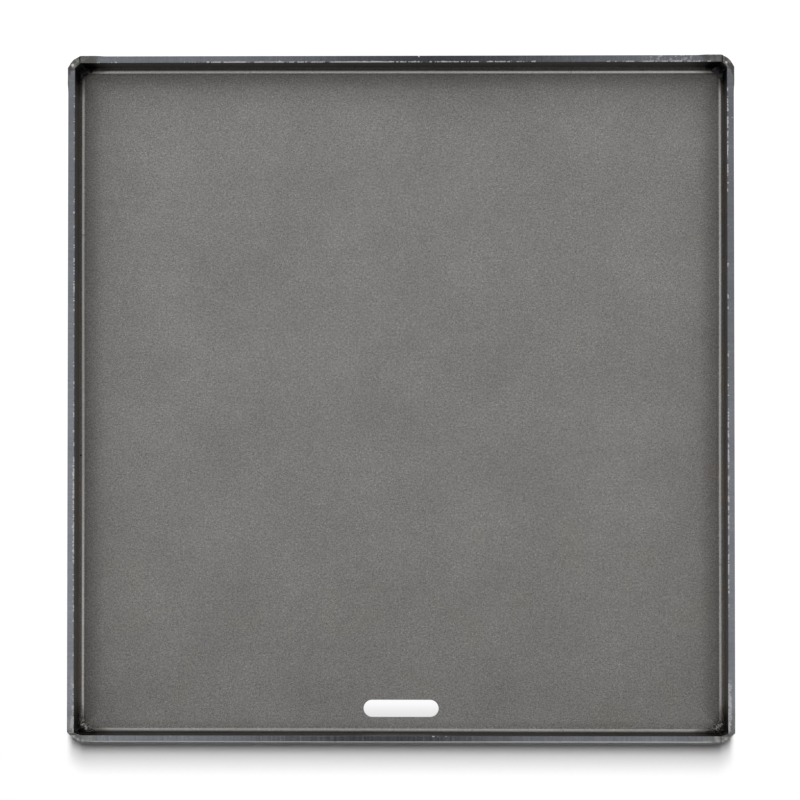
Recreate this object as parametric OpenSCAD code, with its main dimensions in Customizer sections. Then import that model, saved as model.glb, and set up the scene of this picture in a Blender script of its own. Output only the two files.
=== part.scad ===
// Drop-in flat top griddle. One heavy steel plate is folded up on all four sides into a
// shallow tray, with a grease slot near the front. The four open corners are closed with
// weld: an upright seam between the flange ends, and a root fill over the fold relief.
// Millimetres, +Z up, front (slot side) towards -Y, origin at the centre of the underside.

/* [Plate] */
// Width across the outer faces of the two side flanges
pan_w = 457.2; // [300:0.1:620]
// Length between the outer faces of the front and back flanges
pan_l = 471; // [300:0.5:640]
// Height from the underside to the rim
pan_h = 30.2; // [24:0.1:60]
// Thickness of the plate
plate_t = 4.76; // [3.5:0.01:5.5]
// Inside radius of the four folds
fold_r = 4.76; // [3.5:0.01:5.5]

/* [Grease slot] */
// Length of the slot from end to end
slot_l = 52; // [20:0.5:120]
// Width of the slot, which is also the diameter of its round ends
slot_w = 12; // [6:0.5:16]
// Distance from the front face to the middle of the slot
slot_from_front = 21.3; // [20:0.1:60]

/* [Back corners] */
// Distance from the side face to the end of the back flange
back_gap_x = 8.4; // [6.5:0.1:9]
// Distance from the back face to the end of the side flange
back_gap_y = 8.1; // [6.5:0.1:9]
// How far the back seams swell out past a straight line between the flanges
back_bulge = 1.4; // [0.2:0.1:2]
// How far the weld that laps over the outer faces stands proud of them
cap_t = 0.45; // [0.2:0.05:0.8]
// Full-thickness length of that lap along each flange
cap_l = 10; // [4:0.5:16]
// Length over which the lap thins out to nothing
cap_taper = 8; // [4:0.5:12]

/* [Front corners] */
// Distance from the side face to the end of the front flange
front_gap_x = 9.2; // [6.5:0.1:9.4]
// Distance from the front face to the end of the side flange
front_gap_y = 6.1; // [6:0.1:9]

/* [Corner relief] */
// Width of the diagonal relief notch at the foot of each corner
relief_w = 9.9; // [8:0.1:11]
// Distance from the outer corner point to the inner edge of the notch
relief_reach = 16; // [14:0.1:20]

/* [Hidden] */
$fn = 96;
// Outside radius of the folds, which is also the height of the fold zone
fold_ro = fold_r + plate_t;
// How far cutting tools run past the faces they cut
over = 2;
// Flush width of a back seam beside each flange end, before it starts to swell
seam_lip = 0.4;
// Slope of the root fill, from the floor up to the top of the fold zone
root_run = relief_reach - (plate_t + back_gap_y) / sqrt(2);
root_slope = atan((fold_ro - plate_t) / root_run);
PLATE_GREY = [0.46, 0.46, 0.45];
SEAM_GREY = [0.40, 0.40, 0.41];
ROOT_GREY = [0.27, 0.26, 0.27];

// A block outline, standing on its lower edge, with its two lower corners rounded.
module folded_outline(width, height, r) {
    translate([-width / 2, r]) square([width, height - r]);
    translate([-width / 2 + r, 0]) square([width - 2 * r, height]);
    for (side = [-1, 1]) translate([side * (width / 2 - r), r]) circle(r);
}

// An outline drawn in width and height, run along Y between two stations.
module run_along_y(from, to) {
    translate([0, to, 0]) rotate([90, 0, 0]) linear_extrude(to - from) children();
}

// An outline drawn in width and height, run along X between two stations.
module run_along_x(from, to) {
    translate([from, 0, 0]) rotate([90, 0, 90]) linear_extrude(to - from) children();
}

// The floor with the left and right flanges folded up from it.
module side_flanges() {
    difference() {
        run_along_y(-pan_l / 2 + front_gap_y, pan_l / 2 - back_gap_y)
            folded_outline(pan_w, pan_h, fold_ro);
        translate([0, 0, plate_t])
            run_along_y(-pan_l / 2, pan_l / 2)
                folded_outline(pan_w - 2 * plate_t, pan_h, fold_r);
    }
}

// A flange across the tray with its share of the floor, at the front or at the back.
module end_flange(side, gap_x) {
    reach = pan_w / 2 - gap_x;
    intersection() {
        difference() {
            run_along_x(-reach, reach) folded_outline(pan_l, pan_h, fold_ro);
            translate([0, 0, plate_t])
                run_along_x(-pan_w / 2, pan_w / 2)
                    folded_outline(pan_l - 2 * plate_t, pan_h, fold_r);
        }
        translate([-pan_w / 2, side > 0 ? 0 : -pan_l, -over]) cube([pan_w, pan_l, pan_h + 2 * over]);
    }
}

// The obround slot through the floor.
module grease_slot() {
    half = slot_l / 2 - slot_w / 2;
    translate([0, -pan_l / 2 + slot_from_front, -over]) {
        for (end = [-1, 1])
            translate([end * half, 0, 0]) cylinder(d = slot_w, h = plate_t + 2 * over);
        translate([-half, -slot_w / 2, 0]) cube([2 * half, slot_w, plate_t + 2 * over]);
    }
}

// Puts its children at one corner, with +X and +Y pointing inwards along the flanges.
module at_corner(side_x, side_y) {
    translate([side_x * pan_w / 2, side_y * pan_l / 2, 0])
        mirror([side_x > 0 ? 1 : 0, 0, 0])
            mirror([0, side_y > 0 ? 1 : 0, 0])
                children();
}

// The diagonal notch that lets two neighbouring folds be made without tearing.
module relief_notch(from_z, to_z) {
    translate([0, 0, from_z])
        rotate([0, 0, 45])
            translate([0, -relief_w / 2, 0])
                cube([relief_reach, relief_w, to_z - from_z]);
}

// Everything within the outer skin of the tray, with its folds but no hollow.
module outer_skin() {
    intersection() {
        run_along_y(-pan_l / 2, pan_l / 2) folded_outline(pan_w, pan_h, fold_ro);
        run_along_x(-pan_w / 2, pan_w / 2) folded_outline(pan_l, pan_h, fold_ro);
    }
}

// Plan of the metal that joins the two flange ends, out to the square corner point.
module corner_plan(gap_x, gap_y) {
    polygon([[0, 0], [0, gap_y], [plate_t, gap_y], [gap_x, plate_t], [gap_x, 0]]);
}

// Plan of a front seam: the corner point is ground off straight across.
module flat_seam_plan() {
    polygon([
        [0, front_gap_y], [plate_t, front_gap_y], [front_gap_x, plate_t], [front_gap_x, 0]
    ]);
}

// Plan of a back seam: its outside is an arc that starts just past each flange end.
module swollen_seam_plan() {
    foot = [back_gap_x - seam_lip, back_gap_y - seam_lip];
    chord = norm(foot);
    r = (chord * chord / 4 + back_bulge * back_bulge) / (2 * back_bulge);
    intersection() {
        corner_plan(back_gap_x, back_gap_y);
        translate(foot / 2)
            rotate(atan2(-foot[1], foot[0]))
                translate([0, r - back_bulge]) circle(r);
    }
}

// Plan of the thin lap of weld over the outer face of one flange.
module lap_plan(gap) {
    polygon([
        [-cap_t, gap - seam_lip], [-cap_t, gap + cap_l], [0, gap + cap_l + cap_taper],
        [0, gap], [seam_lip, gap], [seam_lip, gap - seam_lip]
    ]);
}

// The folded plate: floor, four flanges and the slot, all one piece of steel.
module griddle_pan() {
    color(PLATE_GREY)
        difference() {
            union() {
                side_flanges();
                end_flange(1, back_gap_x);
                end_flange(-1, front_gap_x);
            }
            grease_slot();
            for (side_x = [-1, 1], side_y = [-1, 1])
                at_corner(side_x, side_y) relief_notch(-over, fold_ro);
        }
}

// An upright back seam, swollen outside and lapped over both outer faces.
module back_corner_weld(side_x) {
    color(SEAM_GREY)
        union() {
            at_corner(side_x, 1)
                translate([0, 0, fold_ro])
                    linear_extrude(pan_h - fold_ro) {
                        swollen_seam_plan();
                        lap_plan(back_gap_y);
                        mirror([1, -1]) lap_plan(back_gap_x);
                    }
            intersection() {
                outer_skin();
                at_corner(side_x, 1) linear_extrude(fold_ro) swollen_seam_plan();
            }
        }
}

// An upright front seam, ground flat across the corner.
module front_corner_weld(side_x) {
    color(SEAM_GREY)
        intersection() {
            outer_skin();
            at_corner(side_x, -1) linear_extrude(pan_h) flat_seam_plan();
        }
}

// The weld that fills a relief notch and slopes up into the corner behind the seam.
module root_weld(side_x, side_y, gap_x, gap_y) {
    color(ROOT_GREY)
        difference() {
            intersection() {
                outer_skin();
                at_corner(side_x, side_y) relief_notch(0, fold_ro);
            }
            at_corner(side_x, side_y) {
                translate([0, 0, -over]) linear_extrude(pan_h) corner_plan(gap_x, gap_y);
                rotate([0, 0, 45])
                    translate([relief_reach, -relief_w, plate_t])
                        rotate([0, root_slope, 0])
                            translate([-2 * relief_reach, 0, 0])
                                cube([3 * relief_reach, 2 * relief_w, pan_h]);
            }
        }
}

griddle_pan();
back_corner_weld(-1);  // corner_weld_back_left
back_corner_weld(1);  // corner_weld_back_right
front_corner_weld(-1);  // corner_weld_front_left
front_corner_weld(1);  // corner_weld_front_right
root_weld(-1, 1, back_gap_x, back_gap_y);  // root_weld_back_left
root_weld(1, 1, back_gap_x, back_gap_y);  // root_weld_back_right
root_weld(-1, -1, front_gap_x, front_gap_y);  // root_weld_front_left
root_weld(1, -1, front_gap_x, front_gap_y);  // root_weld_front_right
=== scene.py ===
"""Looks of the flat top griddle: a tray folded from one steel plate, with welded corners.

Metres, +Z up, the grease slot towards -Y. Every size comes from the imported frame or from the
named values below, which repeat the design's own sizes.
"""

import math
import random

import bmesh
import bpy
from mathutils import Matrix, Vector, noise

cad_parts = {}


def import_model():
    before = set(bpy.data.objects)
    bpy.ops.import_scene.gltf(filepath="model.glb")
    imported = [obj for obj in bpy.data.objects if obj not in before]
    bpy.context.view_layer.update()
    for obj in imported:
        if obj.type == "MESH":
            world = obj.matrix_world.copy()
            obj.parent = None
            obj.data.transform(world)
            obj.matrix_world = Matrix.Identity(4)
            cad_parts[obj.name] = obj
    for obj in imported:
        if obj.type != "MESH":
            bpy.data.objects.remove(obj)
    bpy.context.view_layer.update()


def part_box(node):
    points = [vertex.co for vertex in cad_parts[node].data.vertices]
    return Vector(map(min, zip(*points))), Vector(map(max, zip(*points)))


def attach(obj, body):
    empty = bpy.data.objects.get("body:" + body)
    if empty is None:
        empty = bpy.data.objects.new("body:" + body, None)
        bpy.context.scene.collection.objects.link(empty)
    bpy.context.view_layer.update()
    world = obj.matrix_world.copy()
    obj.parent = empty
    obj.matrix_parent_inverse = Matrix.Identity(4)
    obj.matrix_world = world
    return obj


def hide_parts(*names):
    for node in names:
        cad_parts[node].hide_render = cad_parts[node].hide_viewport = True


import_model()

# ------------ sizes, in metres
MM = 0.001
PAN_LO, PAN_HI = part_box("griddle_pan")
HALF_W = (PAN_HI[0] - PAN_LO[0]) / 2
HALF_L = (PAN_HI[1] - PAN_LO[1]) / 2
RIM_Z = PAN_HI[2]
PLATE_T = 4.76 * MM
# Inside and outside radius of the folds, and where the folds leave the flat floor
FOLD_RI = 4.76 * MM
FOLD_RO = PLATE_T + FOLD_RI
TANGENT_X, TANGENT_Y = HALF_W - FOLD_RO, HALF_L - FOLD_RO
SLOT_L = 52 * MM
SLOT_W = 12 * MM
SLOT_Y = -HALF_L + 21.3 * MM
# From the neighbouring outer face to each flange's end, at the back and at the front
BACK_GAP_X, BACK_GAP_Y = 8.4 * MM, 8.1 * MM
FRONT_GAP_X, FRONT_GAP_Y = 9.2 * MM, 6.1 * MM
# How far the back seams swell, and how far their laps over the outer faces stand proud
BACK_BULGE = 1.4 * MM
LAP_T = 0.45 * MM
LAP_RUN, LAP_TAPER = 18 * MM, 8 * MM
# How far in from each corner the root weld meets the floor
FILL_REACH = {
    "back_left": 14.6 * MM,
    "back_right": 15.1 * MM,
    "front_left": 14.1 * MM,
    "front_right": 14.5 * MM,
}
FILL_SLOPE = 0.62
# How far the burr on the cut edge stands above the rest of the rim
BURR = 0.07 * MM
# Radius ground on the outer corner of the side flanges' front ends
GROUND_R = 1.4 * MM
# Where the folding tool's segments met, along each fold
TOOL_JOINTS = {
    "left": (114 * MM,),
    "right": (-115 * MM,),
    "back": (-105 * MM, 118 * MM),
    "front": (-114 * MM, 49 * MM, 112 * MM),
}
# The plate's materials, by their place in its list
FACE, EDGE, OUTSIDE = range(3)
# How far a hidden face of weld metal is sunk behind the face of the plate beside it
SUNK = 0.06 * MM
# The share of light that the paper gives back
PAPER_WHITE = 0.81


def smooth(x, lo, hi):
    """Rises smoothly from 0 at lo to 1 at hi."""
    t = min(1.0, max(0.0, (x - lo) / (hi - lo)))
    return t * t * (3 - 2 * t)


def wobble(x, y, z, scale, seed=0.0):
    """Smooth noise from -1 to 1, with features about 1/scale metres apart."""
    return noise.noise(Vector((x * scale + seed, y * scale - seed, z * scale + 3 * seed)))


# ------------ mesh helpers
def new_object(name, data):
    """A new object in the scene."""
    obj = bpy.data.objects.new(name, data)
    bpy.context.collection.objects.link(obj)
    return obj


def mesh_object(name, bm, materials):
    """Turns a bmesh into an object."""
    mesh = bpy.data.meshes.new(name)
    bm.to_mesh(mesh)
    bm.free()
    for material in materials:
        mesh.materials.append(material)
    return new_object(name, mesh)


def finish_mesh(name, bm, materials, node):
    """Turns a bmesh into a piece that rides on the body and replaces one CAD node."""
    bmesh.ops.remove_doubles(bm, verts=bm.verts, dist=1e-7)
    bmesh.ops.recalc_face_normals(bm, faces=bm.faces)
    piece = mesh_object(name, bm, materials)
    for polygon in piece.data.polygons:
        polygon.use_smooth = True
    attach(piece, "root")
    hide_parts(node)


def bridge(bm, ring_a, ring_b, material=0, closed=True):
    """Quads between two rows of vertices of the same length."""
    n = len(ring_a)
    for i in range(n if closed else n - 1):
        j = (i + 1) % n
        f = bm.faces.new((ring_a[i], ring_a[j], ring_b[j], ring_b[i]))
        f.material_index = material


# ------------ node helpers
class Graph:
    """A short way to write a material's node tree. Colours are three numbers or a socket."""

    def __init__(self, name):
        self.material = bpy.data.materials.new(name)
        self.material.use_nodes = True
        self.tree = self.material.node_tree
        self.tree.nodes.clear()
        self.shader = self.node("BsdfPrincipled")
        self.feed(self.shader.outputs[0], self.node("OutputMaterial").inputs["Surface"])
        self.place = self.node("TexCoord").outputs["Object"]
        split = self.node("SeparateXYZ")
        self.feed(self.place, split.inputs[0])
        self.x, self.y, self.z = split.outputs

    def node(self, kind):
        return self.tree.nodes.new(f"ShaderNode{kind}")

    def feed(self, value, socket):
        """Links a socket to another or sets it to a number or a colour. None leaves it."""
        if isinstance(value, bpy.types.NodeSocket):
            self.tree.links.new(value, socket)
        elif socket.type == "RGBA":
            socket.default_value = (*value, 1)
        elif value is not None:
            socket.default_value = value

    def math(self, op, *values):
        node = self.node("Math")
        node.operation = op
        for value, socket in zip(values, node.inputs):
            self.feed(value, socket)
        return node.outputs[0]

    def chain(self, op, first, *others):
        """One operation over any number of values, from left to right."""
        for other in others:
            first = self.math(op, first, other)
        return first

    def add(self, *values):
        return self.chain("ADD", *values)

    def mul(self, *values):
        return self.chain("MULTIPLY", *values)

    def most(self, *values):
        return self.chain("MAXIMUM", *values)

    def sub(self, a, b):
        return self.math("SUBTRACT", a, b)

    def less(self, a, b):
        """1 where a is less than b, otherwise 0."""
        return self.math("LESS_THAN", a, b)

    def abs(self, a):
        return self.math("ABSOLUTE", a)

    def swing(self, value, width):
        """Noise from 0 to 1 turned into a swing about 0, over a width."""
        return self.mul(self.sub(value, 0.5), width)

    def vary(self, value, amount):
        """A factor about 1 that follows noise from 0 to 1 by an amount."""
        return self.add(1.0, self.swing(value, amount))

    def ramp(self, value, lo, hi, out_lo=0.0, out_hi=1.0):
        """out_lo at lo, easing to out_hi at hi."""
        node = self.node("MapRange")
        node.interpolation_type = "SMOOTHSTEP"
        for v, socket in zip((value, lo, hi, out_lo, out_hi), node.inputs):
            self.feed(v, socket)
        return node.outputs[0]

    def fade(self, value, lo, hi):
        """1 at lo, easing to 0 at hi."""
        return self.ramp(value, lo, hi, 1.0, 0.0)

    def band(self, value, lo, hi, soft):
        """1 between lo and hi, easing to 0 over soft on both sides."""
        return self.mul(self.ramp(value, lo - soft, lo), self.fade(value, hi, hi + soft))

    def spot(self, x, y, full, none):
        """1 within the first distance of a place on the tray, 0 beyond the second."""
        across, down = self.sub(self.x, x), self.sub(self.y, y)
        squared = self.add(self.mul(across, across), self.mul(down, down))
        return self.fade(self.math("SQRT", squared), full, none)

    def texture(self, dimensions, scale, detail, rough):
        node = self.node("TexNoise")
        node.noise_dimensions = dimensions
        for name, value in (("Scale", scale), ("Detail", detail), ("Roughness", rough)):
            node.inputs[name].default_value = value
        return node

    def noise(self, scale, detail=2.0, rough=0.5, stretch=(1, 1, 1), seed=0.0):
        """Noise from 0 to 1, centred on 0.5; stretch scales the axes apart."""
        node = self.texture("3D", scale, detail, rough)
        mapping = self.node("Mapping")
        mapping.inputs["Location"].default_value = (seed, -seed, seed / 2)
        mapping.inputs["Scale"].default_value = stretch
        self.feed(self.place, mapping.inputs["Vector"])
        self.feed(mapping.outputs[0], node.inputs["Vector"])
        return node.outputs["Fac"]

    def lines(self, along, scale, detail=2.0, rough=0.6, seed=0.0):
        """Noise that changes along one coordinate only, from 0 to 1."""
        node = self.texture("1D", scale, detail, rough)
        self.feed(self.add(along, seed), node.inputs["W"])
        return node.outputs["Fac"]

    def mix(self, factor, a, b):
        """A colour between a and b, by the node's colour sockets."""
        node = self.node("Mix")
        node.data_type = "RGBA"
        for value, socket in ((factor, 0), (a, 6), (b, 7)):
            self.feed(value, node.inputs[socket])
        return node.outputs[2]

    def times(self, op, colour, factor, socket):
        """A colour times what goes into the operation's other socket."""
        node = self.node("VectorMath")
        node.operation = op
        self.feed(colour, node.inputs[0])
        self.feed(factor, node.inputs[socket])
        return node.outputs[0]

    def shade(self, colour, value):
        """A colour times a number."""
        return self.times("SCALE", colour, value, 3)

    def tinted(self, colour, tint):
        """A colour times another, channel by channel."""
        return self.times("MULTIPLY", colour, tint, 1)

    def bump(self, height, distance, strength, after=None):
        node = self.node("Bump")
        node.inputs["Strength"].default_value = strength
        node.inputs["Distance"].default_value = distance
        self.feed(height, node.inputs["Height"])
        self.feed(after, node.inputs["Normal"])
        return node.outputs[0]

    def finish(self, colour, roughness, metallic=1.0, normal=None):
        sockets = self.shader.inputs
        self.feed(colour, sockets["Base Color"])
        self.feed(roughness, sockets["Roughness"])
        self.feed(metallic, sockets["Metallic"])
        self.feed(normal, sockets["Normal"])
        return self.material


class TrayGraph(Graph):
    """A graph that also knows where on the tray a place is."""

    def __init__(self, name):
        super().__init__(name)
        self.from_side = self.sub(HALF_W, self.abs(self.x))
        self.from_end = self.sub(HALF_L, self.abs(self.y))
        self.to_corner = self.add(self.from_side, self.from_end)
        self.inwards = self.math("MINIMUM", self.from_side, self.from_end)
        self.front_half = self.less(self.y, 0.0)
        self.back_half = self.sub(1.0, self.front_half)
        # 1 on the side flanges, the front one and the back one, with the floor beside them
        self.on_side = self.less(self.from_side, self.from_end)
        self.on_front = self.sub(self.front_half, self.mul(self.front_half, self.on_side))
        self.on_back = self.sub(1.0, self.most(self.on_side, self.front_half))
        # The place along a flange, then offset so that opposite flanges aren't marked alike
        lengthways = self.mul(self.on_side, self.y)
        self.along = self.add(lengthways, self.mul(self.sub(1.0, self.on_side), self.x))
        left = self.less(self.x, -TANGENT_X)
        front = self.less(self.y, -TANGENT_Y)
        self.trail = self.add(self.along, self.add(self.mul(left, 2.3), self.mul(front, 4.1)))


# ------------ the plate's materials
def grain_tone(g, fine, cloud, seed=0.0):
    """A brightness factor with fine grain and slow clouding, and the grain itself."""
    speck = g.noise(640, 4, 0.85, seed=seed)
    mottle = g.noise(150, 3, 0.6, seed=seed + 11.0)
    dust = g.noise(1500, 1, 0.5, seed=seed + 41.0)
    slow = g.noise(17, 3, 0.55, seed=seed + 4.0)
    grain = g.mul(g.vary(speck, fine), g.vary(mottle, fine * 0.14), g.vary(dust, fine))
    return g.mul(grain, g.vary(slow, cloud)), speck


def tool_marks(g):
    """1 on the fine lines left across a fold where the folding tool's segments met."""
    marks = []
    for side in SIDES:
        out = g.add(g.mul(g.x, side.normal[0]), g.mul(g.y, side.normal[1]))
        on_flange = g.less(side.reach, out)
        place = g.add(g.mul(g.x, abs(side.along[0])), g.mul(g.y, abs(side.along[1])))
        for joint in TOOL_JOINTS[side.name]:
            near = g.band(place, joint, joint, 0.8 * MM)
            marks.append(g.mul(near, on_flange))
    return g.most(*marks)


def up_the_fold(g):
    """How far out a place is from the floor's edge, shifted by where the tool's track and its painted
    highlight lie.
    """
    higher = g.mul(g.on_front, g.ramp(g.x, -100 * MM, 150 * MM, 0.75 * MM, 1.05 * MM))
    lower = g.add(
        g.mul(g.on_back, g.ramp(g.x, -190 * MM, 190 * MM, 0.15 * MM, 0.85 * MM)),
        g.mul(g.on_side, g.ramp(g.y, 120 * MM, -60 * MM, 0.0, 0.4 * MM)),
    )
    return g.add(g.sub(g.sub(FOLD_RO, g.inwards), higher), lower)


def tool_track_highlight(g, up_fold, near_weld):
    """1 on the line along each fold that the folding tool polished and that carries a painted
    highlight, away from the welds.
    """
    ragged = g.add(up_fold, g.swing(g.lines(g.trail, 160, 3), 0.12 * MM))
    start = g.sub(1.45 * MM, g.mul(g.on_back, 0.2 * MM))
    stop = g.add(2.55 * MM, g.mul(g.on_front, 0.15 * MM))
    soft = 0.3 * MM
    track = g.mul(g.ramp(ragged, g.sub(start, soft), start), g.fade(ragged, stop, g.add(stop, soft)))
    unmarked = g.sub(1.0, g.mul(tool_marks(g), 0.55))
    from_weld = g.add(near_weld, g.mul(g.front_half, 2.5 * MM))
    return g.mul(track, unmarked, g.ramp(from_weld, 18.5 * MM, 23 * MM))


def floor_colour(g, up_fold):
    """Blasted grey, with painted shade along the floor's edges and at the folds' foot, and a shade
    darker in front.
    """
    blasted = (0.575, 0.565, 0.549)
    # Painted shade: a dark line where the floor meets each fold, and darkening towards the flanges
    crease_shade = g.band(up_fold, -0.2 * MM, 0.9 * MM, 0.5 * MM)
    edge_shade_from = g.add(-14 * MM, g.mul(g.on_front, 8.5 * MM))
    edge_shade_depth = g.sub(0.22, g.mul(g.on_front, 0.13))
    # The painted shade beside the flanges, less deep in front
    dull = g.sub(1.0, g.mul(g.ramp(up_fold, edge_shade_from, -0.5 * MM), edge_shade_depth))
    floor = g.shade(blasted, g.sub(dull, g.mul(crease_shade, 0.08)))
    return g.shade(floor, g.ramp(g.y, -80 * MM, -190 * MM, 1.0, 0.955))


def flange_colour(g, up_fold):
    """Darker than the floor, rusty in places on the sides, with painted shade just above the fold and
    on the front flange.
    """
    # The front flange's darker colour is painted shade, set for the stronger light falling on it from
    # behind
    flange = g.mix(g.on_front, (0.315, 0.304, 0.288), (0.262, 0.252, 0.238))
    rusty = g.mul(g.on_side, g.ramp(g.lines(g.trail, 24, 3, 0.6, seed=7.0), 0.46, 0.62))
    flange = g.mix(g.mul(rusty, 0.7), flange, g.tinted(flange, (1.10, 0.97, 0.86)))
    # Painted shade at the foot of each flange, just above the fold
    flange = g.shade(flange, g.ramp(up_fold, 2.8 * MM, 4.7 * MM, 0.56, 1.0))
    # Painted light: the side flanges grow lighter towards the front
    painted_light_to_front = g.ramp(g.y, 200 * MM, -150 * MM, 0.05, 0.36)
    return g.shade(flange, g.add(1.0, g.mul(g.on_side, painted_light_to_front)))


def burnished_highlight_colour(g):
    """Bright steel where the tool polished the folds, as a painted highlight: dimmer along the sides,
    brighter along the back.
    """
    burnished_highlight = (0.83, 0.823, 0.81)
    # How strong the painted highlight is on each fold, set by how the lamps fall on it
    left_more = g.mul(g.less(g.x, 0.0), g.ramp(g.y, 0.0, -150 * MM, -0.06, 0.19))
    side_less = g.mul(g.on_side, g.sub(0.15, left_more))
    back_middle = g.band(g.x, -50 * MM, 60 * MM, 120 * MM)
    back_more = g.mul(g.on_back, g.sub(0.13, g.mul(back_middle, 0.08)))
    front_less = g.mul(g.on_front, g.ramp(g.x, -100 * MM, 150 * MM, -0.20, -0.04))
    return g.shade(burnished_highlight, g.add(1.0, front_less, g.sub(back_more, side_less)))


def stained(g, colour, speck):
    """Faint warm stains towards the front, a rust bloom by the right fold, a pit in the left."""
    stain = g.mul(g.ramp(g.noise(30, 3, 0.6, seed=31.0), 0.54, 0.68), g.fade(g.y, -140 * MM, -40 * MM))
    bloom = g.spot(HALF_W - 12.1 * MM, -50 * MM, 2 * MM, 9 * MM)
    warm = g.most(g.mul(stain, 0.35), g.mul(bloom, g.ramp(speck, 0.4, 0.6)))
    colour = g.mix(g.mul(warm, 0.6), colour, g.tinted(colour, (1.05, 0.97, 0.90)))
    pit = g.spot(-HALF_W + 6.4 * MM, -39 * MM, 0.4 * MM, 0.9 * MM)
    return g.mix(pit, colour, (0.02, 0.02, 0.02))


def heat_tint_and_corner_shade(g, colour, tone, up_fold, near_weld):
    """Heat tint from welding and painted shade in the corners: mottled black beside the corner, then a
    brown edge.
    """
    foot = g.ramp(up_fold, -1.0 * MM, 2.6 * MM, -9 * MM, 0.0)
    from_weld = g.add(g.sub(near_weld, foot), 1.5 * MM)
    brown = g.fade(from_weld, 26 * MM, 38 * MM)
    # The black beside each corner is partly soot and partly painted shade
    black = g.fade(from_weld, 21 * MM, 27.5 * MM)
    colour = g.mix(g.mul(brown, 0.62), colour, g.shade((0.125, 0.098, 0.078), tone))
    mottle = g.ramp(g.noise(520, 3, 0.65, seed=52.0), 0.42, 0.60)
    pale_soot_and_shade = g.mix(g.front_half, (0.036, 0.037, 0.039), (0.115, 0.112, 0.102))
    soot_and_shade = g.mix(mottle, (0.010, 0.011, 0.013), pale_soot_and_shade)
    # The painted shade is lighter on the side flanges
    return g.mix(black, colour, g.shade(soot_and_shade, g.add(1.0, g.mul(g.on_side, 1.1))))


def fleck_noise(g):
    """Noise behind the spatter on plate and weld, lower at the right, where more is black."""
    return g.add(g.noise(1300, 2, 0.6, seed=61.0), g.ramp(g.x, -10 * MM, 10 * MM, 0.0, -0.035))


def flecked(g, colour, up_fold, near_weld):
    """Spatter by the front corners: pale and black flecks over the fold and the floor."""
    thrown = g.mul(g.fade(near_weld, 19 * MM, 28 * MM), g.front_half)
    fleck = fleck_noise(g)
    on_fold = g.mul(thrown, g.ramp(up_fold, 3.4 * MM, 3.8 * MM, 1.0, 0.12))
    pale = g.mul(on_fold, g.ramp(fleck, 0.565, 0.61, 0.0, 0.8))
    black = g.mul(thrown, g.ramp(fleck, 0.40, 0.445, 0.9, 0.0))
    return g.mix(black, g.mix(pale, colour, (0.88, 0.87, 0.83)), (0.03, 0.03, 0.028))


def plate_face():
    """The plate's inner face: blasted floor, polished folds, darker flanges, heat tint, with painted
    highlight and shade.
    """
    g = TrayGraph("plate_face")
    tone, speck = grain_tone(g, 1.35, 0.26)
    up_fold = up_the_fold(g)
    near_weld = g.add(g.to_corner, g.swing(g.noise(260, 3, 0.6, seed=8.0), 9 * MM))
    # The folds' polished track, which also carries the painted highlight
    burnish_highlight = tool_track_highlight(g, up_fold, near_weld)
    wall_from = g.sub(2.65 * MM, g.mul(g.on_front, 0.15 * MM))
    wall = g.ramp(up_fold, wall_from, g.add(2.9 * MM, g.mul(g.on_front, 0.9 * MM)))
    colour = g.mix(wall, floor_colour(g, up_fold), flange_colour(g, up_fold))
    colour = g.mix(burnish_highlight, colour, burnished_highlight_colour(g))
    tone = g.sub(tone, g.mul(burnish_highlight, 0.6, g.sub(tone, 1.0)))
    colour = stained(g, g.shade(colour, tone), speck)
    colour = heat_tint_and_corner_shade(g, colour, tone, up_fold, near_weld)
    colour = flecked(g, colour, up_fold, near_weld)
    smoother = g.sub(-0.2, g.mul(g.on_back, 0.06))
    rough = g.add(0.72, g.mul(burnish_highlight, smoother), g.mul(wall, -0.29))
    g.feed((0.45, 0.45, 0.45), g.shader.inputs["Specular Tint"])
    return g.finish(colour, rough, 1.0, g.bump(speck, 0.04 * MM, 0.35))


def edge_tone(g, front_rim, streak, speck):
    """A brightness factor with the streaks across the cut, combed deeper on the front rim."""
    comb = g.swing(g.lines(g.trail, 800, 2, 0.65, seed=27.0), 2.0)
    deeper = g.mul(g.band(g.x, -70 * MM, 30 * MM, 40 * MM), 1.05)
    combed = g.mul(front_rim, g.add(0.28, deeper))
    return g.mul(
        g.vary(streak, g.add(0.34, g.mul(combed, 0.5))),
        g.add(1.0, g.mul(comb, combed)),
        g.vary(g.lines(g.along, 38, 2, 0.5, seed=3.0), 0.36),
        g.vary(speck, 0.55),
    )


def edge_ends(g, colour, tone, blotch, front_rim):
    """The heat tint and the grinding at the ends of the flanges' cut edges."""
    tint = g.fade(g.add(g.to_corner, g.swing(blotch, 12 * MM)), 19 * MM, 26 * MM)
    mottle = g.ramp(blotch, 0.42, 0.6)
    burnt = g.mix(mottle, (0.15, 0.145, 0.135), (0.25, 0.245, 0.235))
    ground = g.mix(mottle, (0.24, 0.245, 0.235), (0.42, 0.42, 0.41))
    ends = g.shade(g.mix(front_rim, burnt, ground), tone)
    colour = g.mix(g.mul(tint, g.sub(0.85, g.mul(g.on_side, 0.65))), colour, ends)
    ragged = g.add(g.to_corner, g.swing(blotch, 9 * MM))
    scuffed = g.mix(g.ramp(blotch, 0.42, 0.58), (0.20, 0.20, 0.195), (0.34, 0.34, 0.335))
    by_front = g.mul(g.on_side, g.front_half, g.fade(ragged, 14 * MM, 22 * MM))
    colour = g.mix(g.mul(by_front, 0.85), colour, g.shade(scuffed, tone))
    by_back = g.mul(g.on_side, g.back_half, g.fade(ragged, 12 * MM, 15 * MM))
    colour = g.mix(g.mul(by_back, 0.8), colour, g.shade((0.085, 0.085, 0.082), tone))
    seam_line = g.band(g.from_side, FRONT_GAP_X - 1 * MM, FRONT_GAP_X + 0.7 * MM, 0.5 * MM)
    return g.mix(g.mul(seam_line, front_rim, 0.6), colour, (0.10, 0.102, 0.088))


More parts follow.
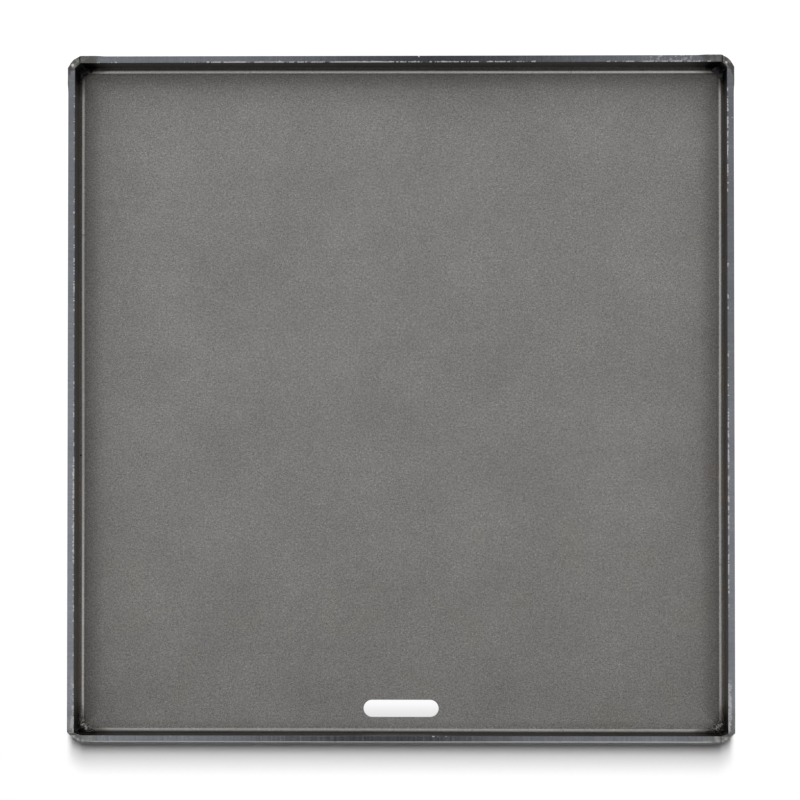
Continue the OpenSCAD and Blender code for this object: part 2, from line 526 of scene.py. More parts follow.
def inner_burr_glints(g, dash, blotch, front_rim):
    """Where the inner arris of the rim is bright in dashes: torn metal with painted glints where it
    would catch the light.
    """
    spread = g.lines(g.trail, 14, 1, 0.5, seed=5.0)
    # Torn and glinting more in the middle of the back, along one stretch of the sides and at their
    # front ends
    end_rims = g.sub(g.sub(1.0, g.on_side), front_rim)
    middle = g.mul(g.band(g.x, -115 * MM, 75 * MM, 20 * MM), end_rims)
    side_stretch = g.mul(g.band(g.y, -105 * MM, -45 * MM, 12 * MM), g.on_side)
    near_front = g.mul(g.fade(g.y, -205 * MM, -185 * MM), g.on_side)
    wear_and_glint = g.add(dash, g.swing(spread, 0.4), g.mul(g.most(middle, side_stretch, near_front), 0.13))
    wear_and_glint = g.sub(g.sub(wear_and_glint, g.mul(side_stretch, 0.04)), g.mul(front_rim, 0.16))
    torn = g.swing(g.noise(520, 2, 0.6, seed=43.0), g.add(1.5 * MM, g.mul(side_stretch, 1.5 * MM)))
    dashes = g.mul(g.ramp(g.add(g.inwards, torn), 3.7 * MM, 4.15 * MM), g.ramp(wear_and_glint, 0.535, 0.63))
    broad = g.mul(near_front, g.ramp(g.inwards, 1.9 * MM, 3.1 * MM), g.ramp(blotch, 0.4, 0.6))
    broad = g.mul(broad, g.ramp(g.x, 0.0, 100 * MM, 0.5, 0.85))
    from_corner = g.ramp(g.add(g.to_corner, g.mul(near_front, 7.5 * MM)), 17 * MM, 22 * MM)
    return g.mul(g.most(dashes, broad), from_corner, g.less(g.inwards, 6 * MM))


def outer_burr_highlight(g, dash, front_rim):
    """Where the outer arris of the front rim is bright: torn metal with a painted highlight line,
    broader towards the right.
    """
    broader = g.ramp(g.x, -20 * MM, 120 * MM, 0.0, 0.22 * MM)
    return g.mul(
        g.fade(g.sub(g.inwards, broader), 0.70 * MM, 0.95 * MM),
        front_rim,
        g.ramp(g.inwards, 0.12 * MM, 0.30 * MM),
        g.ramp(dash, 0.30, 0.42, 0.8, 1.0),
        g.ramp(g.to_corner, 14 * MM, 21 * MM),
    )


def cut_edge():
    """The sheared edge of the plate along the rim and inside the slot."""
    g = TrayGraph("cut_edge")
    streak = g.lines(g.trail, 420, 3, 0.7)
    speck = g.noise(900, 3, 0.7, seed=9.0)
    blotch = g.noise(170, 3, 0.65, seed=19.0)
    dash = g.lines(g.trail, 150, 4, 0.75, seed=17.0)
    front_rim = g.less(g.y, -HALF_L + 5.2 * MM)
    tone = edge_tone(g, front_rim, streak, speck)
    colour = g.shade((0.280, 0.294, 0.324), g.mul(tone, g.sub(1.0, g.mul(front_rim, 0.09))))
    colour = edge_ends(g, colour, tone, blotch, front_rim)
    # A patch of scuffs on the back rim, and stray nicks
    patch = g.mul(g.band(g.x, 174 * MM, 196 * MM, 10 * MM), g.less(200 * MM, g.y))
    scuff = g.mul(patch, g.ramp(g.noise(420, 3, 0.7, seed=29.0), 0.5, 0.62, 0.0, 0.5))
    nick = g.ramp(g.noise(210, 2, 0.5, seed=12.0), 0.74, 0.79)
    # Bright burrs: torn metal with painted glints and a painted highlight line along the arrises
    burr_glints = g.most(inner_burr_glints(g, dash, blotch, front_rim), outer_burr_highlight(g, dash, front_rim))
    bright = g.most(burr_glints, nick, scuff)
    colour = g.mix(bright, colour, (0.93, 0.93, 0.95))
    rough = g.add(0.185, g.mul(bright, 0.30))
    bump = g.bump(streak, 0.03 * MM, 0.8)
    return g.finish(colour, rough, 1.0, g.bump(speck, 0.02 * MM, 0.35, bump))


def plate_outside():
    """The outer faces and the underside, with mill scale and handling marks."""
    g = TrayGraph("plate_outside")
    tone, speck = grain_tone(g, 0.6, 0.35, seed=2.0)
    colour = g.shade((0.27, 0.267, 0.262), tone)
    rub = g.ramp(g.noise(60, 4, 0.7, stretch=(1, 1, 6), seed=14.0), 0.58, 0.72, 0.0, 0.4)
    colour = g.mix(rub, colour, (0.42, 0.42, 0.42))
    ragged = g.add(g.to_corner, g.swing(speck, 10 * MM))
    brown = g.ramp(ragged, 24 * MM, 44 * MM, 0.6, 0.0)
    blue = g.ramp(ragged, 12 * MM, 30 * MM, 0.75, 0.0)
    colour = g.mix(brown, colour, g.shade((0.20, 0.14, 0.09), tone))
    colour = g.mix(blue, colour, g.shade((0.07, 0.075, 0.10), tone))
    return g.finish(colour, 0.5, 1.0, g.bump(speck, 0.04 * MM, 0.35))


# ------------ the welds' materials
def seam_weld_metal():
    """Weld metal of the upright seams: ground back, mottled, black inside, partly burnt and partly
    painted shade.
    """
    g = TrayGraph("seam_weld_metal")
    top = g.ramp(g.z, RIM_Z - 1.6 * MM, RIM_Z - 0.9 * MM)
    speckle = g.noise(800, 3, 0.75, seed=5.0)
    tone = g.vary(speckle, g.add(0.7, top))
    patch = g.ramp(g.noise(330, 3, 0.6, seed=16.0), 0.40, 0.60)
    pale = g.mix(g.back_half, (0.60, 0.595, 0.58), (0.40, 0.39, 0.37))
    dull = g.mix(g.back_half, (0.33, 0.325, 0.31), (0.16, 0.155, 0.145))
    crown = g.mix(patch, dull, pale)
    ground = g.mix(patch, (0.215, 0.212, 0.207), (0.285, 0.28, 0.272))
    colour = g.shade(g.mix(top, ground, crown), tone)
    # A dark crack by each back seam and a painted glint spot on it; a painted glint line on the front
    # ones
    crack = g.mul(g.band(g.from_side, 7.5 * MM, 8.3 * MM, 0.3 * MM), g.back_half, top)
    crack = g.mul(crack, g.ramp(speckle, 0.4, 0.5, 0.4, 0.9))
    colour = g.mix(crack, colour, (0.04, 0.04, 0.038))
    left = g.spot(-HALF_W + 3.0 * MM, HALF_L - 6.1 * MM, 0.6 * MM, 1.3 * MM)
    right = g.spot(HALF_W - 5.2 * MM, HALF_L - 5.1 * MM, 0.5 * MM, 1.1 * MM)
    glint_spot = g.mul(g.most(left, right), top)
    glint_line = g.band(g.from_end, 4.3 * MM, 4.9 * MM, 0.35 * MM)
    glint_line = g.mul(glint_line, g.ramp(g.noise(420, 2, 0.5, seed=23.0), 0.45, 0.6), top, g.front_half)
    painted_glint = g.most(glint_spot, g.mul(glint_line, 0.8))
    colour = g.mix(painted_glint, colour, (0.95, 0.93, 0.90))
    # Painted shade: the seam's inner face goes black where it sinks into the corner
    inside = g.mul(g.ramp(g.to_corner, 11.3 * MM, 12.3 * MM), g.ramp(g.inwards, 1 * MM, 2 * MM))
    below = g.fade(g.z, RIM_Z - 1.2 * MM, RIM_Z - 0.4 * MM)
    colour = g.mix(g.mul(inside, below), colour, (0.02, 0.021, 0.023))
    # The laps' thin ends and lower edges take the heat tint of the faces that they run out on
    low_edge = g.mul(g.fade(g.z, FOLD_RO + 0.5 * MM, FOLD_RO + 5 * MM), g.back_half)
    low_edge = g.mul(low_edge, g.ramp(g.to_corner, 8.2 * MM, 11 * MM))
    run_out = g.most(g.ramp(g.to_corner, 15 * MM, 25 * MM), low_edge)
    run_out = g.mul(run_out, g.fade(g.inwards, 1 * MM, 2 * MM), 0.8)
    colour = g.mix(run_out, colour, g.shade((0.13, 0.12, 0.115), tone))
    rough = g.sub(0.42, g.mul(painted_glint, 0.1))
    return g.finish(colour, rough, 1.0, g.bump(speckle, 0.1 * MM, 0.6))


def root_weld_metal():
    """Weld metal at the foot of the corners: dark scale, blue at the back, spatter in front."""
    g = TrayGraph("root_weld_metal")
    speckle = g.noise(1000, 3, 0.7, seed=6.0)
    patch = g.noise(430, 3, 0.6, seed=26.0)
    ragged = g.add(g.to_corner, g.swing(patch, 7 * MM))
    scale = g.mix(g.ramp(patch, 0.38, 0.62), (0.016, 0.016, 0.019), (0.086, 0.079, 0.094))
    scale = g.mix(g.ramp(ragged, 14 * MM, 18 * MM, 0.9, 0.0), scale, (0.013, 0.013, 0.014))
    scale = g.mix(g.ramp(ragged, 18.5 * MM, 21.5 * MM, 0.0, 0.8), scale, (0.21, 0.195, 0.165))
    burnt = g.mix(g.ramp(patch, 0.46, 0.58), (0.013, 0.013, 0.012), (0.10, 0.098, 0.088))
    burnt = g.mix(g.ramp(ragged, 16 * MM, 19 * MM), burnt, (0.46, 0.455, 0.43))
    fleck = fleck_noise(g)
    far = g.ramp(ragged, 14.5 * MM, 17.5 * MM)
    burnt = g.mix(g.mul(far, g.ramp(fleck, 0.555, 0.60, 0.0, 0.8)), burnt, (0.85, 0.84, 0.80))
    burnt = g.mix(g.mul(far, g.ramp(fleck, 0.43, 0.47, 0.9, 0.0)), burnt, (0.025, 0.025, 0.023))
    colour = g.shade(g.mix(g.back_half, burnt, scale), g.vary(speckle, 1.0))
    return g.finish(colour, 0.5, 0.95, g.bump(speckle, 0.1 * MM, 0.6))


# ------------ the folded plate
def arc(centre_z, r, start, stop, steps):
    """Points on a fold; angles in degrees from straight down, turning outwards."""
    angles = (math.radians(start + (stop - start) * i / steps) for i in range(steps + 1))
    return [(r * math.sin(a), centre_z - r * math.cos(a)) for a in angles]


def flange_profile():
    """The flange's section as (outward, height, zone) from inner tangent to outer tangent."""
    arris, guard = 0.35 * MM, 0.2 * MM
    wall_steps, rim_steps = 6, 5
    top = RIM_Z - BURR
    wall_rise = top - arris - guard - FOLD_RO
    rim_in, rim_out = FOLD_RI + arris + guard, FOLD_RO - arris - guard
    turns = [math.radians(30 * i) for i in range(4)]
    points = [(o, z, FACE) for o, z in arc(FOLD_RO, FOLD_RI, 0, 90, 18)]
    for i in range(1, wall_steps + 1):
        points.append((FOLD_RI, FOLD_RO + wall_rise * i / wall_steps, FACE))
    for a in turns:
        points.append((FOLD_RI + arris * (1 - math.cos(a)), top - arris * (1 - math.sin(a)), EDGE))
    for i in range(rim_steps + 1):
        points.append((rim_in + (rim_out - rim_in) * i / rim_steps, top, EDGE))
    for a in turns:
        points.append((FOLD_RO - arris * (1 - math.sin(a)), top - arris * (1 - math.cos(a)), EDGE))
    for i in range(wall_steps + 1):
        points.append((FOLD_RO, FOLD_RO + wall_rise * (1 - i / wall_steps), OUTSIDE))
    points += [(o, z, OUTSIDE) for o, z in arc(FOLD_RO, FOLD_RO, 90, 0, 20)[1:]]
    return points


class Side:
    """One flange: which way it faces, where its tangent line is, and how far it runs."""

    def __init__(self, name, normal, along, reach, half, start_gap, end_gap):
        self.name, self.normal, self.along = name, normal, along
        self.reach, self.half = reach, half
        self.start_more, self.end_more = FOLD_RO - start_gap, FOLD_RO - end_gap
        self.start_ground = start_gap == FRONT_GAP_Y
        self.end_ground = end_gap == FRONT_GAP_Y

    def joints(self):
        """The places along this flange where the folding tool's segments met."""
        return [place * (self.along[0] + self.along[1]) for place in TOOL_JOINTS[self.name]]

    def point(self, out, z, share):
        """A point of the flange, share running from 0 at its start to 1 at its end."""
        lift = smooth(out, 0, FOLD_RI)
        past = max(0.0, out - FOLD_RO + GROUND_R) / GROUND_R
        ground = GROUND_R * (1 - math.sqrt(max(0.0, 1 - past * past)))
        first = -self.half - self.start_more * lift + ground * self.start_ground
        last = self.half + self.end_more * lift - ground * self.end_ground
        s = first + (last - first) * share
        o = self.reach + out
        x, y = (self.normal[i] * o + self.along[i] * s for i in (0, 1))
        return Vector((x, y, z))


SIDES = (
    Side("front", (0, -1), (1, 0), TANGENT_Y, TANGENT_X, FRONT_GAP_X, FRONT_GAP_X),
    Side("right", (1, 0), (0, 1), TANGENT_X, TANGENT_Y, FRONT_GAP_Y, BACK_GAP_Y),
    Side("back", (0, 1), (-1, 0), TANGENT_Y, TANGENT_X, BACK_GAP_X, BACK_GAP_X),
    Side("left", (-1, 0), (0, -1), TANGENT_X, TANGENT_Y, BACK_GAP_Y, FRONT_GAP_Y),
)


def stations(side):
    """Shares along a flange: an even run, finer where the folding tool's segments met."""
    pitch = 1.25 * MM
    length = 2 * side.half
    n = round(length / pitch)
    shares = {round(i / n, 6) for i in range(n + 1)}
    for joint in side.joints():
        for step in (-0.8, -0.5, -0.25, 0, 0.25, 0.5, 0.8):
            shares.add(round((joint + step * MM + side.half) / length, 6))
    return sorted(shares)


def worn(side, co, out, zone):
    """Moves a point of a flange by what folding, cutting and handling left on it."""
    s = co.x * side.along[0] + co.y * side.along[1]
    d_out, d_z = 0.0, 0.0
    if zone == EDGE:
        rough_edge = wobble(s, side.reach, 0, 420, 1.7)
        fine_edge = wobble(s, side.reach, 0, 1500, 5.1)
        near_inner = 1 - smooth(out, FOLD_RI + 0.2 * MM, FOLD_RI + 0.9 * MM)
        d_z = BURR * near_inner * max(0.0, 0.55 * rough_edge + 0.5 * fine_edge + 0.25)
        d_z -= 0.03 * MM * abs(wobble(s, out * 40, 0, 700, 2.2))
        if out < FOLD_RI + 0.3 * MM:
            d_out = -0.05 * MM * max(0.0, rough_edge)
    elif zone == FACE and out < FOLD_RI * 0.95:
        for joint in side.joints():
            near = math.exp(-(((s - joint) / (0.35 * MM)) ** 2))
            depth = 0.22 * MM * near * smooth(out, 0, 1.2 * MM)
            d_out += depth * out / FOLD_RI
            d_z -= depth * (1 - out / FOLD_RI)
    return co + Vector((side.normal[0] * d_out, side.normal[1] * d_out, d_z))


def flange(bm, side, profile):
    """One flange with its two ends; returns its rows of vertices."""
    rows = []
    for share in stations(side):
        row = []
        for i, (out, z, zone) in enumerate(profile):
            co = side.point(out, z, share)
            if 0 < i < len(profile) - 1:
                co = worn(side, co, out, zone)
            row.append(bm.verts.new(co))
        rows.append(row)
    for row_a, row_b in zip(rows, rows[1:]):
        for i in range(1, len(profile)):
            f = bm.faces.new((row_a[i - 1], row_b[i - 1], row_b[i], row_a[i]))
            zones = (profile[i - 1][2], profile[i][2])
            f.material_index = EDGE if EDGE in zones else zones[0]
    for row in (rows[0], rows[-1]):
        end = bm.faces.new(row)
        end.material_index = OUTSIDE
        for edge in end.edges:
            edge.smooth = False
        bmesh.ops.triangulate(bm, faces=[end], ngon_method="EAR_CLIP")
    return rows


def slot_ring(bm, grow, z):
    """A ring of vertices round the slot, grown outwards from its cut by grow."""
    turns, straight = 24, 30
    r = SLOT_W / 2 + grow
    half = SLOT_L / 2 - SLOT_W / 2
    ring = []
    for end in (1, -1):
        for i in range(turns + 1):
            a = -math.pi / 2 + math.pi * i / turns
            ring.append((end * (half + r * math.cos(a)), SLOT_Y + end * r * math.sin(a)))
        for i in range(1, straight):
            ring.append((end * (half - 2 * half * i / straight), SLOT_Y + end * r))
    return [bm.verts.new((x, y, z)) for x, y in ring]


def flat_sheet(bm, ring, z, material, into):
    """The flat between the folds, with the slot's rounded lip; returns the ring of the cut."""
    inset, arris, guard = 0.5 * MM, 0.3 * MM, 0.25 * MM
    shrink_x, shrink_y = 1 - inset / TANGENT_X, 1 - inset / TANGENT_Y
    inner = [bm.verts.new((v.co.x * shrink_x, v.co.y * shrink_y, z)) for v in ring]
    bridge(bm, ring, inner, material)
    guard_ring = slot_ring(bm, arris + guard, z)
    lip_ring = slot_ring(bm, arris, z)
    mid_ring = slot_ring(bm, arris * 0.3, z + into * arris * 0.3)
    cut_ring = slot_ring(bm, 0, z + into * arris)
    bridge(bm, guard_ring, lip_ring, material)
    bridge(bm, lip_ring, mid_ring, EDGE)
    bridge(bm, mid_ring, cut_ring, EDGE)
    edges = []
    for loop in (inner, guard_ring):
        for a, b in zip(loop, loop[1:] + loop[:1]):
            edges.append(bm.edges.get((a, b)) or bm.edges.new((a, b)))
    made = bmesh.ops.triangle_fill(bm, use_beauty=True, edges=edges, normal=(0, 0, 1))
    for f in made["geom"]:
        if isinstance(f, bmesh.types.BMFace):
            f.material_index = material
    return cut_ring


def griddle_pan(materials):
    """The folded plate: four flanges, the floor's two faces and the slot through it."""
    bm = bmesh.new()
    profile = flange_profile()
    top_ring, under_ring = [], []
    for side in SIDES:
        rows = flange(bm, side, profile)
        top_ring += [row[0] for row in rows[:-1]]
        under_ring += [row[-1] for row in rows[:-1]]
    upper_cut = flat_sheet(bm, top_ring, PLATE_T, FACE, -1)
    lower_cut = flat_sheet(bm, under_ring, 0.0, OUTSIDE, 1)
    bridge(bm, upper_cut, lower_cut, EDGE)
    finish_mesh("griddle_pan_plate", bm, materials, "griddle_pan")


# ------------ corner welds
class Corner:
    """A corner of the tray: a and b run inwards from the side face and the end face."""

    def __init__(self, name, side_x, side_y):
        self.name, self.side_x, self.side_y = name, side_x, side_y
        self.back = side_y > 0
        self.gap_a = BACK_GAP_X if self.back else FRONT_GAP_X
        self.gap_b = BACK_GAP_Y if self.back else FRONT_GAP_Y
        self.reach = FILL_REACH[name]
        self.seed = 2.0 + 3.1 * side_x + 7.7 * side_y

    def point(self, a, b, z):
        return Vector((self.side_x * (HALF_W - a), self.side_y * (HALF_L - b), z))


CORNERS = (
    Corner("back_left", -1, 1),
    Corner("back_right", 1, 1),
    Corner("front_left", -1, -1),
    Corner("front_right", 1, -1),
)


def outer_fold(a):
    """Height of the plate's outer surface a metres in, or how far in it lies at a height a."""
    if a >= FOLD_RO:
        return 0.0
    return FOLD_RO - math.sqrt(max(0.0, FOLD_RO**2 - (FOLD_RO - a) ** 2))


def inner_fold(a):
    """Height of the plate's inner surface over a point a metres in from an outer face."""
    steep = 12
    x = FOLD_RO - a
    if x <= 0:
        return PLATE_T
    if x >= FOLD_RI:
        return FOLD_RO + (x - FOLD_RI) * steep
    return FOLD_RO - math.sqrt(FOLD_RI**2 - x**2)


def along_diagonal(u, v):
    """The distances from the two outer faces, u inwards along the diagonal and v across it."""
    return (u - v) / math.sqrt(2), (u + v) / math.sqrt(2)


def seam_laps(corner):
    """The plan of a back seam's two laps, each from its thin end to the flange's end."""
    steps = 24
    first, second = [], []
    for i in range(steps if corner.back else 0):
        s = LAP_RUN * (1 - i / steps)
        cover = smooth(LAP_RUN - s, 0, LAP_TAPER)
        b, a = corner.gap_b + s, corner.gap_a + s
        first.append(((0, b), (2 * SUNK, b), (-1, 0), 0.0, cover))
        second.append(((a, 0), (a, 2 * SUNK), (0, -1), 0.0, cover))
    return first, second


def seam_bead(corner):
    """The plan of a seam's bead, from the side flange's end to the other flange's end."""
    steps = 34
    tuck = 0.4 * MM
    ga, gb = corner.gap_a, corner.gap_b
    chord = math.hypot(ga, gb)
    n_a, n_b = -gb / chord, -ga / chord
    bulge = BACK_BULGE if corner.back else 0.1 * MM
    inner = [(2 * SUNK, gb + tuck), (PLATE_T, gb + tuck), (PLATE_T, gb), (ga, PLATE_T),
             (ga + tuck, PLATE_T), (ga + tuck, 2 * SUNK)]
    # The share of the bead at which the inner outline turns
    stops = (0.0, 0.14, 0.17, 0.83, 0.86, 1.0)
    entries = []
    for i in range(steps + 1):
        t = i / steps
        swell = bulge * 4 * t * (1 - t)
        outer = (ga * t + n_a * swell, gb * (1 - t) + n_b * swell)
        k = max(j for j in range(5) if stops[j] <= t)
        f = (t - stops[k]) / (stops[k + 1] - stops[k])
        inside = tuple(p + (q - p) * f for p, q in zip(inner[k], inner[k + 1]))
        body = math.sin(math.pi * t)
        cover = (1 - smooth(min(t, 1 - t), 0.0, 0.2)) if corner.back else 0.0
        away = (-1, 0) if t < 0.5 else (0, -1)
        entries.append((outer, inside, (n_a, n_b) if body > 0.5 else away, body, cover))
    return entries


def seam_plan(corner):
    """The seam's plan, from one lap's thin end to the other's.

    Each entry holds an outer point, its inner point, the outward direction, how far the
    point belongs to the bead and how far to a lap.
    """
    first, second = seam_laps(corner)
    return first + seam_bead(corner) + second[::-1]


def seam_level(bm, corner, plan, z):
    """The outer and the inner row of a seam's vertices at one height."""
    limit = outer_fold(z)
    lap = smooth(z, FOLD_RO - 0.5 * MM, FOLD_RO + 1.5 * MM)
    lap *= 1 - 0.35 * smooth(z, RIM_Z - 0.7 * MM, RIM_Z)
    ripple_height = (0.09 if corner.back else 0.02) * MM
    ripple_pitch = 1.9 * MM
    outer_row, inner_row = [], []
    for (a, b), (ia, ib), (n_a, n_b), body, cover in plan:
        base = corner.point(a, b, z)
        rough = wobble(base.x, base.y, base.z, 700, corner.seed)
        ripple = math.sin(z * math.tau / ripple_pitch + 1.5 * rough + 2 * body)
        push = body * (ripple_height * ripple + 0.12 * MM * rough)
        ground = 0.85 + 0.15 * wobble(base.x, base.y, z, 300, corner.seed + 4)
        push += (LAP_T + SUNK) * cover * lap * ground - SUNK * (1 - body)
        if not corner.back:
            push -= 0.55 * GROUND_R * (1 - smooth(a, 0, 0.28 * corner.gap_a))
        if lap < 1:
            nearest = limit + (SUNK if body < 0.2 else 0.0)
        else:
            nearest = -LAP_T
        nearest -= LAP_T * cover * lap
        outer = corner.point(max(a + n_a * push, nearest), max(b + n_b * push, nearest), z)
        inner = corner.point(max(ia, limit + 2 * SUNK), max(ib, limit + 2 * SUNK), z)
        outer_row.append(bm.verts.new(outer))
        inner_row.append(bm.verts.new(inner))
    return outer_row, inner_row


def crown_rise(corner, x, y, body, share):
    """How far a seam's top stands above its edge, share of the way from outside to inside."""
    lumps = wobble(x, y, 0, 420, corner.seed)
    grit = wobble(x, y, 0, 1100, corner.seed)
    if corner.back:
        return smooth(body, 0.0, 0.35) * (0.05 + 0.16 * lumps + 0.10 * grit) * MM
    hollow = 4 * share * (1 - share)
    rise = -0.4 * hollow - 0.3 * (1 - share) + 0.2 * lumps + 0.12 * grit
    return smooth(body, 0.0, 0.8) * rise * MM


def seam_weld(corner, material):
    """The upright bead between two flange ends, lapped over the outer faces at the back."""
    # The rows stop short of the underside, and of the rim that the lumps on top may reach
    foot, crown = 0.12 * MM, RIM_Z - 0.12 * MM
    pitch, across = 0.36 * MM, 12
    bm = bmesh.new()
    plan = seam_plan(corner)
    levels = round(RIM_Z / pitch)
    rows = [seam_level(bm, corner, plan, max(foot, crown * k / levels)) for k in range(levels + 1)]
    for (low_o, low_i), (high_o, high_i) in zip(rows, rows[1:]):
        bridge(bm, low_o, high_o, closed=False)
        bridge(bm, low_i, high_i, closed=False)
        for end in (0, -1):
            bm.faces.new((low_o[end], high_o[end], high_i[end], low_i[end]))
    bridge(bm, *rows[0], closed=False)
    outer_row, inner_row = rows[-1]
    last = outer_row
    for j in range(1, across):
        row = []
        for v_out, v_in, (_, _, _, body, _) in zip(outer_row, inner_row, plan):
            co = v_out.co.lerp(v_in.co, j / across)
            co.z = min(RIM_Z, co.z + crown_rise(corner, co.x, co.y, body, j / across))
            row.append(bm.verts.new(co))
        bridge(bm, last, row, closed=False)
        last = row
    bridge(bm, last, inner_row, closed=False)
    name = f"corner_weld_{corner.name}"
    finish_mesh(f"{name}_bead", bm, [material], name)


def fill_top(corner, u, v):
    """Height of the weld at the foot of a corner; u runs inwards along the diagonal."""
    at = corner.point(*along_diagonal(u, v), 0)
    coarse = wobble(at.x, at.y, 0, 380, corner.seed)
    fine = wobble(at.x, at.y, 0, 1100, corner.seed)
    facet = PLATE_T + (corner.reach - u) * FILL_SLOPE
    if corner.back:
        facet += (0.10 * coarse + 0.05 * fine) * MM
    else:
        facet += (0.30 * coarse + 0.35 * fine - 0.1) * MM
    return min(facet, FOLD_RO + 0.6 * MM)


def spatter(bm, corner, count):
    """Small beads thrown from the weld, stuck to the plate around it."""
    rng = random.Random(round(corner.seed * 10))
    nearest = PLATE_T + 0.8 * MM
    for _ in range(count):
        u = corner.reach + rng.uniform(-2.5, 3.0) * MM
        v = rng.uniform(-1, 1) * 7.0 * MM
        r = rng.uniform(0.12, 0.3) * MM
        a, b = (max(inwards, nearest) for inwards in along_diagonal(u, v))
        weld_z = fill_top(corner, (a + b) / math.sqrt(2), (b - a) / math.sqrt(2))
        z = max(inner_fold(a), inner_fold(b), weld_z)
        shape = Matrix.Translation(corner.point(a, b, z)) @ Matrix.Diagonal((r, r, 0.5 * r, 1))
        bmesh.ops.create_icosphere(bm, subdivisions=2, radius=1.0, matrix=shape)


def root_weld(corner, material):
    """The fill over the relief notch at the foot of a corner."""
    bm = bmesh.new()
    step = 0.32 * MM
    # From behind the seam to just past the weld's foot
    u_lo, u_hi = 8.2 * MM, corner.reach + 1.0 * MM
    n_u, n_v = round((u_hi - u_lo) / step), 44
    top, low = [], []
    for i in range(n_u + 1):
        u = u_lo + (u_hi - u_lo) * i / n_u
        v_half = min(7.2 * MM, u - 4.5 * MM)
        top_row, low_row = [], []
        for j in range(n_v + 1):
            v = v_half * (2 * j / n_v - 1)
            a, b = along_diagonal(u, v)
            plate_top = max(inner_fold(a), inner_fold(b))
            plate_low = max(outer_fold(a), outer_fold(b))
            high = max(fill_top(corner, u, v), min(plate_top - 0.9 * MM, FOLD_RO))
            if i in (0, n_u) or j in (0, n_v):
                high = min(high, plate_low + 0.5 * PLATE_T)
                under = high - 0.05 * MM
            else:
                under = min(plate_low + 0.05 * MM, high - 0.04 * MM)
            top_row.append(bm.verts.new(corner.point(a, b, high)))
            low_row.append(bm.verts.new(corner.point(a, b, under)))
        top.append(top_row)
        low.append(low_row)
    for rows in (top, low):
        for row_a, row_b in zip(rows, rows[1:]):
            bridge(bm, row_a, row_b, closed=False)
    border = [(0, j) for j in range(n_v)] + [(i, n_v) for i in range(n_u)]
    border += [(n_u, j) for j in range(n_v, 0, -1)] + [(i, 0) for i in range(n_u, 0, -1)]
    bridge(bm, [top[i][j] for i, j in border], [low[i][j] for i, j in border])
    if not corner.back:
        spatter(bm, corner, 30)
    name = f"root_weld_{corner.name}"
    finish_mesh(f"{name}_fill", bm, [material], name)


# ------------ stage, lights, camera
def paper():
    """White paper, which shows through the slot as a glow that fades towards the front."""
    g = Graph("paper")
    colour = g.mix(g.noise(300, 2, 0.5), (PAPER_WHITE - 0.01,) * 3, (PAPER_WHITE + 0.01,) * 3)
    reach = g.most(g.abs(g.sub(g.y, SLOT_Y)), g.mul(g.abs(g.x), SLOT_W / SLOT_L))
    under_slot = g.less(reach, SLOT_W / 2 + 2 * MM)
    glow = g.ramp(g.y, SLOT_Y - SLOT_W / 2, SLOT_Y + SLOT_W / 2, 0.77, 0.97)
    g.feed(g.mul(under_slot, glow), g.shader.inputs["Emission Strength"])
    g.feed((1, 1, 1), g.shader.inputs["Emission Color"])
    return g.finish(g.mix(under_slot, colour, (0, 0, 0)), 0.9, 0.0)


def stage():
    """A large white sheet under the griddle."""
    half_side = 6.0
    bm = bmesh.new()
    bmesh.ops.create_grid(bm, x_segments=8, y_segments=8, size=half_side)
    sheet = mesh_object("paper", bm, [paper()])
    return sheet


def aimed(place, target, up):
    """The rotation that looks from place to target with the up direction at the top."""
    back = (Vector(place) - Vector(target)).normalized()
    right = Vector(up).cross(back).normalized()
    return Matrix((right, back.cross(right), back)).transposed().to_quaternion()


def softbox(name, place, target, size, radiance, sheet, state, up=(0, 1, 0)):
    """A rectangular light; by state it leaves the sheet out or lights nothing else."""
    light = bpy.data.lights.new(name, "AREA")
    light.shape = "RECTANGLE"
    light.size, light.size_y = size
    light.energy = radiance * size[0] * size[1] * math.pi
    lamp = new_object(name, light)
    lamp.location = place
    lamp.rotation_mode = "QUATERNION"
    lamp.rotation_quaternion = aimed(place, target, up)
    lamp.visible_camera = False
    group = bpy.data.collections.new(f"{name}_receivers")
    group.objects.link(sheet)
    for entry in group.collection_objects:
        entry.light_linking.link_state = state
    lamp.light_linking.receiver_collection = group


def overhead_panels(sheet):
    """Four panels above the griddle, turned a little and parted by a narrow gap."""
    overhead, gap, width, shift = 1.6, 0.125, 1.75, -0.02
    turn = math.radians(-5)
    up = (-math.sin(turn), math.cos(turn), 0)
    for part, y0, y1, radiance in (("front", -0.66, 0.10, 0.70), ("back", 0.10, 1.90, 0.52)):
        for name, side, share in (("left", -1, 1.0), ("right", 1, 0.86)):
            x, y = side * (gap + width / 2) + shift, (y0 + y1) / 2
            px = x * math.cos(turn) - y * math.sin(turn)
            py = x * math.sin(turn) + y * math.cos(turn)
            softbox(f"softbox_{part}_{name}", (px, py, overhead), (px, py, 0),
                    (width, y1 - y0), radiance * share, sheet, "EXCLUDE", up)


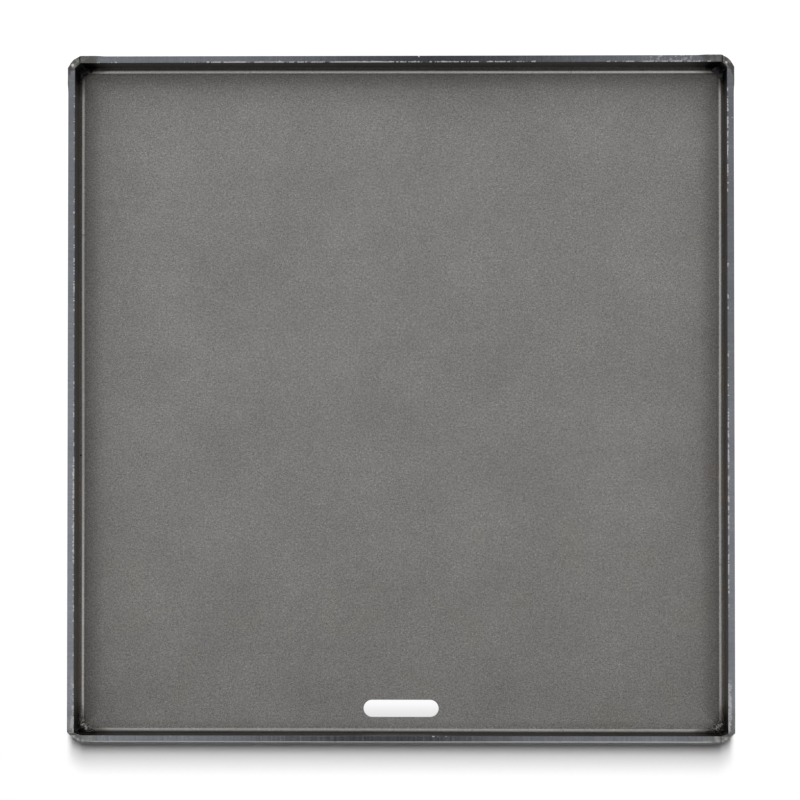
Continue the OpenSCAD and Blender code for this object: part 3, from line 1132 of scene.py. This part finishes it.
def low_panels(sheet):
    """Panels that lean in from the sides, aimed at the middle of the griddle."""
    away, size = 2.8, (2.8, 1.1)
    lean = math.radians(57)
    flat, height = away * math.sin(lean), away * math.cos(lean)
    panels = (
        ("left", -1, 0.15, 0.55), ("right", 1, 0.15, 0.50),
        ("back", 0, 1, 0.80), ("front", 0, -1, 0.16),
    )
    for name, x, y, radiance in panels:
        softbox(f"low_{name}", (x * flat, y * flat, height), (0, 0, 0), size, radiance, sheet,
                "EXCLUDE", (0, 0, 1))


def paper_lamps(sheet):
    """Lamps for the paper alone, behind the griddle so that its shadow falls to the front.

    Each has its tilt and spread in degrees and its share of the light on the paper.
    """
    far, thin, x = 8.0, 1.07, 0.2
    lamps = (("high", 13.7, 6, 0.511), ("low", 29.3, 10.3, 0.455), ("above", 0, 1, 0.05))
    for name, tilt, spread, share in lamps:
        a = math.radians(tilt)
        place = (x, far * math.sin(a), far * math.cos(a))
        long = 2 * far * math.tan(math.radians(spread))
        radiance = share * far**2 / (thin * long * math.cos(a)) / PAPER_WHITE * math.pi
        softbox(f"paper_{name}", place, (0, 0, 0), (thin, long), radiance, sheet, "INCLUDE")


def camera():
    """Looks straight down, slightly off centre, from a little over two metres."""
    lens, sensor = 135.0, 36.0
    # The tray's share of the picture's width
    fill = 0.8343
    distance = lens / sensor * (2 * HALF_W) / fill
    data = bpy.data.cameras.new("camera")
    data.lens, data.sensor_width = lens, sensor
    data.clip_start, data.clip_end = 0.05, 20.0
    obj = new_object("camera", data)
    target = Vector((-0.3 * MM, -1.1 * MM, RIM_Z))
    obj.location = target + Vector((35 * MM, -40 * MM, distance))
    obj.rotation_mode = "QUATERNION"
    obj.rotation_quaternion = aimed(obj.location, target, (0, 1, 0))
    bpy.context.scene.camera = obj


def world():
    """A faint even light from all round, and plain colours."""
    w = bpy.data.worlds.new("studio")
    w.use_nodes = True
    background = w.node_tree.nodes["Background"]
    background.inputs["Color"].default_value = (1, 1, 1, 1)
    background.inputs["Strength"].default_value = 0.05
    bpy.context.scene.world = w
    bpy.context.scene.view_settings.view_transform = "Standard"


# ------------ build
griddle_pan([plate_face(), cut_edge(), plate_outside()])
seam_metal, root_metal = seam_weld_metal(), root_weld_metal()
for corner in CORNERS:
    seam_weld(corner, seam_metal)
    root_weld(corner, root_metal)
camera()
world()
sheet = stage()
overhead_panels(sheet)
low_panels(sheet)
paper_lamps(sheet)
